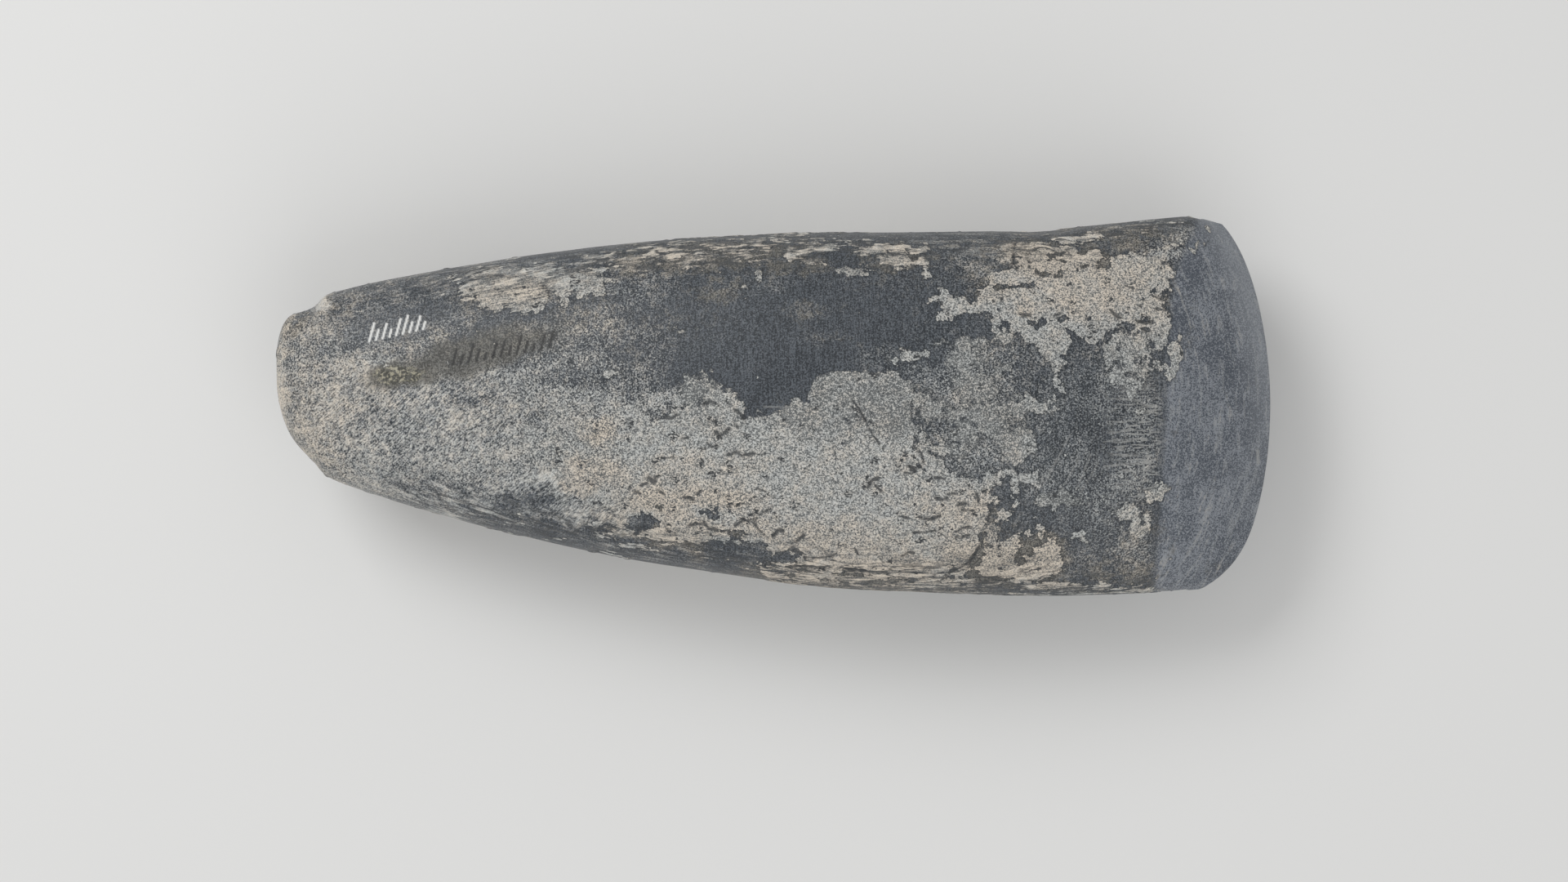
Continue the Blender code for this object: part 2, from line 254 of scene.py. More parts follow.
# How much pale speckle the stone has outside the crust, from 0 to 1; a few brushes paint highlights and a
# shadow line instead
BASE_PALE = 0.12
PALE_BRUSHES = (
    (520, 480, 330, 150, 10, 0.41), (470, 500, 230, 150, 8, 0.47), (700, 540, 110, 90, 8, 0.475),
    (425, 520, 55, 110, 0, 0.51), (705, 582, 80, 28, 0, 0.78), (575, 480, 50, 24, 0, 0.33),
    (505, 490, 30, 24, 0, 0.43), (500, 366, 190, 48, -14, 0.23), (720, 350, 150, 40, -8, 0.25),
    (440, 412, 110, 24, -12, 0.29), (505, 392, 80, 24, -14, 0.17), (1240, 306, 28, 18, 0, 0.72),
    (1195, 336, 26, 22, 0, 0.26), (1422, 309, 30, 15, 0, 0.58), (1160, 434, 34, 18, 0, 0.13),
    (640, 338, 80, 16, -8, 0.52), (740, 322, 60, 10, -6, 0.34), (372, 440, 40, 60, 20, 0.42),
    # (395, 372, ...) is a painted highlight on the bright edge of the chip at the butt
    (395, 372, 12, 10, -30, 0.7), (575, 428, 110, 24, -14, 0.23), (610, 405, 80, 24, -8, 0.14),
    (620, 442, 60, 12, -8, 0.27), (735, 405, 30, 22, 0, 0.31), (480, 388, 50, 12, -14, 0.14),
    (490, 430, 30, 9, -10, 0.27), (470, 450, 34, 14, 0, 0.55), (880, 317, 60, 11, -3, 0.35),
    (490, 560, 50, 18, 24, 0.44), (655, 570, 34, 14, 0, 0.47), (640, 612, 40, 16, 0, 0.18),
    (705, 624, 80, 22, 14, 0.5), (660, 500, 16, 26, 30, 0.38), (690, 415, 80, 30, 0, 0.27),
    (700, 390, 34, 9, -10, 0.17), (720, 464, 80, 14, 4, 0.24), (800, 430, 70, 44, 0, 0.25),
    (768, 432, 24, 16, 0, 0.12), (740, 368, 26, 8, -12, 0.12), (810, 486, 30, 14, 0, 0.5),
    (850, 452, 60, 20, 0, 0.18), (346, 520, 9, 110, 0, 0.62), (390, 430, 16, 26, 0, 0.34),
    # (690, 378, ...) is painted shadow: a dark line under the upper left crust patch
    (690, 378, 60, 6, -12, 0.12), (990, 395, 195, 105, 0, 0.03), (955, 450, 140, 70, 0, 0.02),
    (1000, 335, 150, 18, 0, 0.1), (890, 390, 50, 60, 0, 0.06), (905, 350, 40, 12, 0, 0.1),
    (985, 378, 40, 12, 0, 0.1), (1010, 415, 30, 12, 0, 0.1), (915, 350, 60, 14, 0, 0.12),
    (1195, 490, 95, 95, 0, 0.3), (1310, 545, 95, 120, 0, 0.19), (1360, 600, 60, 80, 0, 0.25),
    (1180, 402, 70, 22, 0, 0.09), (1255, 465, 16, 30, 0, 0.16), (1375, 445, 34, 44, 0, 0.3),
    (1395, 530, 26, 80, 0, 0.24), (1355, 550, 26, 40, 0, 0.15), (1345, 688, 70, 30, 0, 0.19),
    (1180, 302, 75, 24, 0, 0.2), (1370, 290, 90, 22, 0, 0.19), (1454, 286, 18, 9, 0, 0.42),
    (900, 672, 60, 20, 6, 0.16), (780, 665, 90, 22, 14, 0.22), (1278, 640, 60, 34, 0, 0.13),
    # (540, 610, ...) is a painted highlight: a light streak along the lower left rim
    (540, 610, 70, 14, 14, 0.5), (1240, 622, 30, 24, 0, 0.12), (1300, 612, 34, 12, 0, 0.3),
    (1390, 672, 30, 22, 0, 0.36), (1265, 588, 26, 16, 0, 0.28), (1195, 560, 50, 30, 0, 0.3),
    (545, 632, 24, 7, 14, 0.62), (1147, 438, 28, 22, 0, 0.1), (1080, 436, 30, 16, 0, 0.17),
    (1190, 452, 26, 30, 0, 0.4), (652, 610, 34, 14, 0, 0.15), (505, 592, 16, 9, 14, 0.32),
)
# How warm its colours are, down to a lowest level
BASE_WARM = 0.10
COOLEST = -0.3
WARM_BRUSHES = (
    (380, 540, 60, 130, 0, 0.42), (440, 480, 60, 60, 0, 0.4), (622, 360, 70, 30, -6, 0.64),
    (710, 355, 40, 24, 0, 0.25), (715, 580, 60, 26, 0, 0.66), (735, 530, 22, 16, 0, 0.7),
    (870, 314, 170, 26, -4, 0.62), (1095, 315, 60, 24, 0, 0.6), (1195, 316, 60, 30, 0, 0.36),
    (1210, 350, 44, 24, 0, 0.55), (1270, 312, 70, 30, 0, 0.85), (1330, 352, 80, 40, 0, 0.62),
    (1400, 350, 44, 60, 0, 0.46), (830, 650, 110, 30, 12, 0.66), (845, 612, 90, 26, 0, 0.8),
    (1000, 660, 140, 30, 6, 0.52), (1030, 712, 150, 26, 4, 0.75), (1230, 716, 100, 14, 0, 0.55),
    (1190, 655, 60, 60, 0, 0.58), (1225, 688, 46, 26, 0, 0.86), (1285, 684, 34, 28, 0, 0.74),
    (1375, 700, 60, 30, 0, 0.42), (1395, 640, 36, 40, 0, 0.5), (850, 575, 90, 24, 0, 0.34),
    (1050, 560, 110, 60, 0, 0.14), (1370, 290, 90, 18, 0, 0.55), (500, 350, 90, 26, -16, 0.25),
    (985, 330, 60, 12, 0, 0.5), (880, 355, 44, 22, 0, 0.38), (400, 392, 60, 22, -40, 0.4),
    (620, 405, 160, 28, -10, 0.3), (780, 405, 90, 34, 0, 0.28), (640, 610, 60, 22, 0, -0.2),
    (1270, 668, 44, 22, 0, 0.9), (1225, 690, 44, 20, 0, 0.95), (1070, 694, 120, 14, 0, 0.75),
    (1335, 318, 30, 14, 0, 0.85), (1262, 376, 24, 14, 0, 0.62), (1240, 304, 24, 14, 0, 0.9),
    (782, 638, 26, 13, -18, 0.0), (903, 669, 48, 15, 5, 0.0), (874, 627, 36, 8, 0, 0.1),
    (968, 680, 16, 10, 0, 0.1), (346, 500, 14, 110, 0, 0.5), (1135, 628, 40, 30, 0, 0.4),
    (1150, 445, 44, 34, 0, -0.25), (1345, 530, 80, 90, 0, -0.25), (1190, 552, 40, 40, 0, -0.1),
    (930, 440, 60, 50, 0, -0.05), (985, 378, 46, 14, 0, 0.3), (1010, 415, 34, 14, 0, 0.3),
    (1530, 330, 26, 60, 0, 0.2), (1450, 400, 14, 60, 0, 0.3), (1500, 700, 30, 20, -30, 0.4),
    (1462, 288, 40, 18, -10, 0.25), (1250, 655, 26, 12, 0, 0.5), (1205, 320, 40, 26, 0, 0.22),
    (655, 575, 40, 20, 0, 0.1), (1240, 690, 50, 20, 0, 1.0), (1330, 560, 70, 110, 0, -0.3),
    (1530, 600, 30, 90, 0, -0.1), (600, 505, 60, 26, 0, 0.25), (1398, 636, 30, 40, 0, 0.3),
    (364, 396, 26, 12, -40, 0.75),
)
# How thin the crust is, how pitted, how streaked along the rim, how combed with fine lines, and
# how slanted the grain is
THIN_BRUSHES = (
    (870, 512, 56, 22, 0, 0.18), (1020, 490, 120, 55, 0, 0.5), (855, 475, 36, 22, 0, 0.7),
    (1095, 500, 20, 50, 0, 0.65), (1200, 490, 90, 95, 0, 0.52), (1385, 445, 45, 45, 0, 0.22),
    (990, 321, 20, 10, 20, 0.5), (1046, 332, 24, 10, 10, 0.6), (1212, 650, 16, 16, 0, 0.6),
    (1060, 312, 50, 20, 0, 0.35), (1220, 690, 24, 16, 0, 0.25), (1267, 495, 26, 11, 20, 0.15),
    (700, 560, 70, 90, 0, 0.2), (1298, 612, 34, 14, 0, 0.7), (900, 306, 170, 24, -2, 0.45),
    (1180, 724, 260, 12, 1, 0.5), (620, 362, 66, 34, -6, 0.15), (1390, 562, 30, 40, 0, 0.5),
)
BASE_PITTED = 0.30
PITTED_BRUSHES = (
    (870, 540, 70, 45, 0, 0.4), (860, 620, 90, 50, 0, 0.5), (1150, 610, 70, 80, 0, 0.32),
    (1000, 550, 80, 60, 0, 0.15), (1330, 350, 110, 50, 0, 0.15), (1030, 660, 100, 40, 0, 0.1),
)
STREAKED_BRUSHES = (
    (540, 362, 220, 46, -12, 0.9), (630, 358, 80, 26, -8, 1.0), (860, 308, 160, 26, -3, 0.6),
)
COMBED_BRUSHES = ((1392, 540, 38, 100, 0, 0.8), (1402, 550, 20, 70, 0, 1.0))
SLANTED_BRUSHES = ((500, 510, 170, 90, 0, 0.8), (680, 620, 130, 44, 14, 1.0), (1370, 660, 60, 40, 0, 0.6))
# A lacquered stripe under the written marks, and its thick end
STAIN_BRUSHES = (
    (600, 428, 100, 26, -14, 0.55), (560, 440, 90, 24, -14, 0.57), (486, 462, 40, 18, -6, 0.92),
)

# Where the ground facet begins, from the lower side to the upper side
FACET_LINE = ((735, 1411), (715, 1412), (650, 1416), (500, 1425), (420, 1430), (340, 1437), (262, 1468))
FACET_BLEND = (-6, 8)  # pixels past that line in which the facet fades in
CRUST_ENDS = (20, 40)  # pixels past it in which the last crust ends
FACET_SHADE = 3.2  # pixels that the dark line along it is wide to each side
FACET_SHADE_ROWS = (400, 520)  # rows of the photograph between which that dark line fades in
SHADE_UNEVEN = 0.4  # share of it that noise takes or leaves
EDGE_TIP = (1555, 497)
EDGE_BOW = 454  # radius of the cutting edge in pixels
RIM_HIGHLIGHT = (44, 2)  # pixels inside the cutting edge in which its painted highlight fades in
RIM_HIGHLIGHT_ROWS = (700, 380)  # rows of the photograph between which that painted highlight fades in

# Levels where the photograph doesn't show the stone: mean, strength of the noise, its wavelength,
# seed and octaves
HIDDEN_LEVELS = {
    "crust": (0.15, 1.9, 26 * MM, 31, 4),
    "pale": (0.42, 0.30, 22 * MM, 41, 3),
    "warm": (0.35, 0.45, 17 * MM, 51, 3),
    "pitted": (0.5, 0.6, 12 * MM, 101, 3),
}
# Noise that makes outlines ragged, along x and along y: pixels, wavelength, seed, octaves
RAGGEDNESS = (
    ((7, 4.0 * MM, 11, 3), (6, 3.6 * MM, 21, 3)),
    ((3, 1.1 * MM, 14, 2), (3, 1.1 * MM, 24, 2)),
)
# Other noise: wavelength, seed and any octaves
BORDER_GRAIN = (1.9 * MM, 81, 3)
LAYER_GRAIN = (0.8 * MM, 91, 2)
CRACK_GRAIN = (0.7 * MM, 121, 2)
CRUST_GRAIN = (2.2 * MM, 61, 3)
STONE_GRAIN = (5.0 * MM, 71, 3)
SHADE_GRAIN = (9.0 * MM, 111)
LAYER_STRETCH = (0.12, 0.12, 1.0)  # how little a layer's noise changes along x, y and z
# How strongly noise breaks the crust's border up, all over and in level layers on the steep sides
BORDER_NOISE = 0.75
BORDER_LAYERS = 0.85
STEEP = (0.12, 0.62)  # steepness between which layers come to show
STEEP_COLUMNS = (420, 560)  # columns of the photograph between which they fade in
CRACK_FRAY = 1.1  # pixels that noise widens or narrows a crack

# Relief, in metres
CRUST_RISE = 0.14 * MM
CRUST_WAVES = 0.05 * MM
STONE_WAVES = 0.02 * MM
CRACK_DEPTH = 0.16 * MM
SCRATCH_DEPTH = 0.03 * MM
THIN_LOSS = 0.5  # share of its height that the thinnest crust lacks
SPECKLE_WAVES = 0.5  # share of the crust's waves that pale bare stone has

# Hash: odd numbers that scatter its bits, and the width that it is cut to
SCATTER = (374761393, 668265263, 1440662683, 1274126177)
WORD = 0xFFFFFFFF
CELL_SHIFT = 100.5  # cells by which the noise is moved off the origin


def hashed(ix, iy, iz, seed):
    """A repeatable number from -1 to 1 for each whole-number point."""
    n = (ix * SCATTER[0] + iy * SCATTER[1] + iz * SCATTER[2] + seed * SCATTER[3]) & WORD
    n = ((n ^ (n >> 13)) * SCATTER[3]) & WORD
    return (n ^ (n >> 16)) / (WORD / 2) - 1


def smooth_noise(points, wavelength, seed):
    """Noise from -1 to 1 that changes over about one wavelength."""
    scaled = points / wavelength + CELL_SHIFT
    cell = np.floor(scaled).astype(np.int64)
    part = scaled - cell
    part = part * part * (3 - 2 * part)
    total = np.zeros(len(points))
    for dx, dy, dz in np.ndindex(2, 2, 2):
        share = np.abs(1 - dx - part[:, 0]) * np.abs(1 - dy - part[:, 1])
        share *= np.abs(1 - dz - part[:, 2])
        total += share * hashed(cell[:, 0] + dx, cell[:, 1] + dy, cell[:, 2] + dz, seed)
    return total


def rough_noise(points, wavelength, seed, octaves=3):
    """Noise with finer noise on it, each octave half as long and half as strong."""
    return sum(
        smooth_noise(points, wavelength / 2 ** k, seed + k) / 2 ** k for k in range(octaves)
    )


def smooth_step(value, low, high):
    """0 at low, 1 at high, and a smooth way between them."""
    t = np.clip((value - low) / (high - low), 0, 1)
    return t * t * (3 - 2 * t)


def photo_place(points):
    """Where the photograph shows each point, in its pixels."""
    nearer = CAMERA_RISE / (CAMERA_RISE + OUTLINE_HEIGHT - points[:, 2])
    px = IMAGE_MIDDLE[0] + (points[:, 0] - CAMERA_X) * nearer / PIXEL
    py = IMAGE_MIDDLE[1] - (points[:, 1] - CAMERA_Y) * nearer / PIXEL
    return px, py


def ragged_place(points):
    """The photograph's place of each point, shifted by noise so that outlines come out ragged."""
    px, py = photo_place(points)
    for (pixels_x, *grain_x), (pixels_y, *grain_y) in RAGGEDNESS:
        px = px + pixels_x * rough_noise(points, *grain_x)
        py = py + pixels_y * rough_noise(points, *grain_y)
    return px, py


def line_distance(px, py, start, end):
    """Distance to the straight line between two points, in pixels."""
    (ax, ay), (bx, by) = start, end
    dx, dy = bx - ax, by - ay
    along = np.clip(((px - ax) * dx + (py - ay) * dy) / (dx * dx + dy * dy), 0, 1)
    return np.hypot(px - ax - along * dx, py - ay - along * dy)


def depth_inside(px, py, outline):
    """Distance to an outline in pixels, positive inside it."""
    inside = np.zeros(len(px), bool)
    nearest = np.full(len(px), np.inf)
    for (ax, ay), (bx, by) in zip(outline, outline[1:] + outline[:1]):
        nearest = np.minimum(nearest, line_distance(px, py, (ax, ay), (bx, by)))
        if by != ay:
            inside ^= ((ay > py) != (by > py)) & (px < ax + (py - ay) * (bx - ax) / (by - ay))
    return np.where(inside, nearest, -nearest)


def mark_depth(px, py, marks):
    """Half a width less the distance to the nearest mark's line, in pixels: positive on a mark."""
    depth = np.full(len(px), -np.inf)
    for points, half_width in marks:
        for start, end in zip(points, points[1:]):
            depth = np.maximum(depth, half_width - line_distance(px, py, start, end))
    return depth


def stroke_row(first, last, count, height, half_width, shares):
    """A row of short leaning strokes, as marks."""
    marks = []
    for i in range(count):
        along = i / (count - 1)
        x = first[0] + (last[0] - first[0]) * along
        y = first[1] + (last[1] - first[1]) * along
        rise = height * shares[i % len(shares)]
        marks.append((((x, y), (x + STROKE_LEAN * rise, y - rise)), half_width))
    return marks


PAINTED = stroke_row(*PAINTED_ROW)
PENCILLED = stroke_row(*PENCILLED_ROW)


def spot_reach(px, py, spot):
    """How far in a turned ellipse each place is: 1 in its middle, 0 on its edge, negative outside."""
    cx, cy, length, width, degrees = spot[:5]
    turn = math.radians(degrees)
    along = (px - cx) * math.cos(turn) + (py - cy) * math.sin(turn)
    across = (py - cy) * math.cos(turn) - (px - cx) * math.sin(turn)
    return 1 - np.hypot(along / length, across / width)


def spot_level(px, py, spot):
    """1 well inside a spot, -1 well outside it, and a mottled border between them."""
    length, width, border = spot[2], spot[3], spot[5]
    return np.clip(spot_reach(px, py, spot) * min(length, width) / border, -1, 1)


def painted(px, py, base, brushes):
    """A level that soft brushes change one after the other."""
    level = np.full(len(px), base)
    for brush in brushes:
        share = smooth_step(spot_reach(px, py, brush), *BRUSH_EDGE)
        level += (brush[5] - level) * share
    return level


def crust_field(px, py):
    """Crust from -1, bare stone, to 1, whole crust. Between them it is mottled."""
    field = np.full(len(px), -1.0)
    for border, whole, outline in CRUST.values():
        field = np.maximum(field, np.clip(depth_inside(px, py, outline) / border, -1, whole))
    for spot in CRUST_SPOTS:
        field = np.maximum(field, spot_level(px, py, spot))
    for spot in BARE_SPOTS:
        field = np.minimum(field, -spot_level(px, py, spot))
    return field


def past_facet_line(px, py):
    """How many pixels each place lies past the line where the facet begins, towards the edge."""
    rows, columns = zip(*sorted(FACET_LINE))
    return px - np.interp(py, rows, columns)


def inside_edge(px, py):
    """How many pixels each place lies inside the cutting edge."""
    return EDGE_BOW - np.hypot(px - EDGE_TIP[0] + EDGE_BOW, py - EDGE_TIP[1])


def upper_share(points):
    """1 where the photograph shows the stone, 0 underneath."""
    low, high = SHOWN_BETWEEN
    return smooth_step(points[:, 2], low * HIGH.z, high * HIGH.z)


def hidden_level(points, name):
    mean, strength, *grain = HIDDEN_LEVELS[name]
    return strength * rough_noise(points, *grain) + mean


def crust_everywhere(points, steepness):
    """Crust from -1, bare stone, to 1, whole crust, with a ragged edge."""
    px, py = ragged_place(points)
    upper = upper_share(points)
    broad = upper * crust_field(px, py) + (1 - upper) * hidden_level(points, "crust")
    ragged = rough_noise(points, *BORDER_GRAIN)
    layered = rough_noise(points * LAYER_STRETCH, *LAYER_GRAIN) * steepness
    facet = smooth_step(past_facet_line(*photo_place(points)), *CRUST_ENDS)
    return np.clip(broad + BORDER_NOISE * ragged + BORDER_LAYERS * layered, -1, 1) * (1 - facet) - facet


def fields(points, steepness):
    """What each vertex is made of, by name, with where painted highlight and painted shade lie."""
    upper = upper_share(points)
    px, py = ragged_place(points)
    plain_px, plain_py = photo_place(points)
    facet_depth = past_facet_line(plain_px, plain_py)
    facet = smooth_step(facet_depth, *FACET_BLEND)
    uneven = 1 - SHADE_UNEVEN + SHADE_UNEVEN * smooth_noise(points, *SHADE_GRAIN)
    frayed = CRACK_FRAY * rough_noise(points, *CRACK_GRAIN)

    def brushed(base, brushes):
        return upper * painted(px, py, base, brushes)

    def brushed_all_round(name, base, brushes, lowest=0.0):
        return np.clip(brushed(base, brushes) + (1 - upper) * hidden_level(points, name), lowest, 1)

    def marked(marks, edge, wider=0.0):
        return upper * smooth_step(mark_depth(plain_px, plain_py, marks) + wider, *edge)

    return {
        "crust": crust_everywhere(points, steepness),
        "pale": brushed_all_round("pale", BASE_PALE, PALE_BRUSHES),
        "warm": brushed_all_round("warm", BASE_WARM, WARM_BRUSHES, COOLEST),
        "thin": brushed(0.0, THIN_BRUSHES),
        "pitted": brushed_all_round("pitted", BASE_PITTED, PITTED_BRUSHES),
        "combed": brushed(0.0, COMBED_BRUSHES) * (1 - facet),
        "slanted": brushed(0.0, SLANTED_BRUSHES),
        "streaked": brushed(0.0, STREAKED_BRUSHES),
        "steep": smooth_step(steepness, *STEEP) * (1 - facet) * smooth_step(plain_px, *STEEP_COLUMNS),
        "stain": brushed(0.0, STAIN_BRUSHES),
        "facet": facet,
        # painted shade: a dark line along where the facet begins
        "facet_shade_line": (
            np.exp(-(facet_depth / FACET_SHADE) ** 2) * uneven * smooth_step(plain_py, *FACET_SHADE_ROWS)
        ),
        # painted highlight: a lighter band along the cutting edge
        "rim": (
            smooth_step(inside_edge(plain_px, plain_py), *RIM_HIGHLIGHT) * facet * smooth_step(plain_py, *RIM_HIGHLIGHT_ROWS)
        ),
        "crack": marked(CRACKS, CRACK_EDGE, frayed),
        "scratch": marked(SCRATCHES, SCRATCH_EDGE),
        "paint": marked(PAINTED, STROKE_EDGE),
        "pencil": marked(PENCILLED, STROKE_EDGE),
    }


def relief(points, kinds):
    """How far each vertex stands out of the ground surface, in metres."""
    crusted = smooth_step(kinds["crust"], *CRUST_EDGE) * (1 - THIN_LOSS * kinds["thin"])
    rough = crusted + SPECKLE_WAVES * kinds["pale"] * (1 - crusted)
    height = CRUST_RISE * crusted
    height += CRUST_WAVES * rough_noise(points, *CRUST_GRAIN) * rough
    height += STONE_WAVES * rough_noise(points, *STONE_GRAIN)
    height -= CRACK_DEPTH * kinds["crack"] + SCRATCH_DEPTH * kinds["scratch"]
    return height


def quad_mesh(node):
    """The node's solid as a mesh mostly of four-sided faces, with no overlong edge."""
    mesh = bmesh.new()
    mesh.from_mesh(node.data)
    bmesh.ops.remove_doubles(mesh, verts=mesh.verts, dist=WELD)
    while long_edges := [edge for edge in mesh.edges if edge.calc_length() > LONGEST_EDGE]:
        bmesh.ops.subdivide_edges(mesh, edges=long_edges, cuts=1)
        bmesh.ops.triangulate(mesh, faces=[face for face in mesh.faces if len(face.verts) > 4])
    bmesh.ops.join_triangles(
        mesh, faces=mesh.faces, angle_face_threshold=QUAD_BEND, angle_shape_threshold=QUAD_SKEW
    )
    crease = mesh.edges.layers.float.get("crease_edge") or mesh.edges.layers.float.new("crease_edge")
    for edge in mesh.edges:
        if edge.is_manifold and edge.calc_face_angle() > CREASE_FROM:
            edge[crease] = CREASE
    data = bpy.data.meshes.new("axe_stone")
    mesh.to_mesh(data)
    mesh.free()
    return data


def subdivided(data, levels):
    """A copy of the mesh with that many levels of subdivision surface."""
    piece = bpy.data.objects.new("subdivided", data)
    bpy.context.scene.collection.objects.link(piece)
    division = piece.modifiers.new("subdivision", "SUBSURF")
    division.levels = levels
    graph = bpy.context.evaluated_depsgraph_get()
    fine = bpy.data.meshes.new_from_object(piece.evaluated_get(graph))
    bpy.data.objects.remove(piece)
    return fine


def divide_faces(data, chosen, surface, cuts):
    """Cuts the edges of the chosen faces and puts every vertex on the smooth surface."""
    mesh = bmesh.new()
    mesh.from_mesh(data)
    mesh.faces.ensure_lookup_table()
    edges = {edge for i in np.flatnonzero(chosen) for edge in mesh.faces[i].edges}
    bmesh.ops.subdivide_edges(mesh, edges=list(edges), cuts=cuts, use_grid_fill=True)
    for vertex in mesh.verts:
        vertex.co = surface.find_nearest(vertex.co)[0]
    mesh.to_mesh(data)
    mesh.free()


def triples(items, name):
    """A three-part property of all items of a mesh, as an array with a row for each."""
    values = np.empty(3 * len(items), np.float32)
    items.foreach_get(name, values)
    return values.reshape(-1, 3).astype(np.float64)


def steepness_of(normals):
    """0 where the surface is level, 1 where it is upright."""
    return 1 - normals[:, 2] ** 2


def stone_piece(node):
    """The stone, finest where crust ends and where marks lie."""
    coarse = quad_mesh(node)
    smooth = bmesh.new()
    smooth.from_mesh(subdivided(coarse, SMOOTHEST))
    surface = BVHTree.FromBMesh(smooth)
    smooth.free()
    data = subdivided(coarse, 1)
    upper = triples(data.polygons, "center")[:, 2] > FINER_ABOVE * HIGH.z
    divide_faces(data, upper, surface, cuts=1)
    centres = triples(data.polygons, "center")
    crust = crust_everywhere(centres, steepness_of(triples(data.polygons, "normal")))
    broken = (np.abs(crust) < BORDER) & (centres[:, 2] > FINEST_ABOVE * HIGH.z)
    divide_faces(data, broken, surface, cuts=1)
    centres = triples(data.polygons, "center")
    px, py = photo_place(centres)
    marks = list(CRACKS) + list(SCRATCHES) + PAINTED + PENCILLED
    marked = (mark_depth(px, py, marks) > -MARK_MARGIN) & (centres[:, 2] > FINEST_ABOVE * HIGH.z)
    divide_faces(data, marked, surface, cuts=2)
    data.name = "axe_stone"
    piece = bpy.data.objects.new("axe_stone", data)
    bpy.context.scene.collection.objects.link(piece)
    return piece


def dress(piece):
    """Moves the stone's relief into its vertices, and keeps what they are made of, and where painted
    highlight and shade lie, under the names that it returns."""
    data = piece.data
    points, normals = triples(data.vertices, "co"), triples(data.vertex_normals, "vector")
    kinds = fields(points, steepness_of(normals))
    points += normals * relief(points, kinds)[:, None]
    points[:, 2] = np.maximum(points[:, 2], 0)  # nothing goes under the surface that it lies on
    data.vertices.foreach_set("co", points.astype(np.float32).ravel())
    for name, values in kinds.items():
        attribute = data.attributes.new(name, "FLOAT", "POINT")
        attribute.data.foreach_set("value", values.astype(np.float32))
    data.shade_smooth()
    data.update()
    return list(kinds)


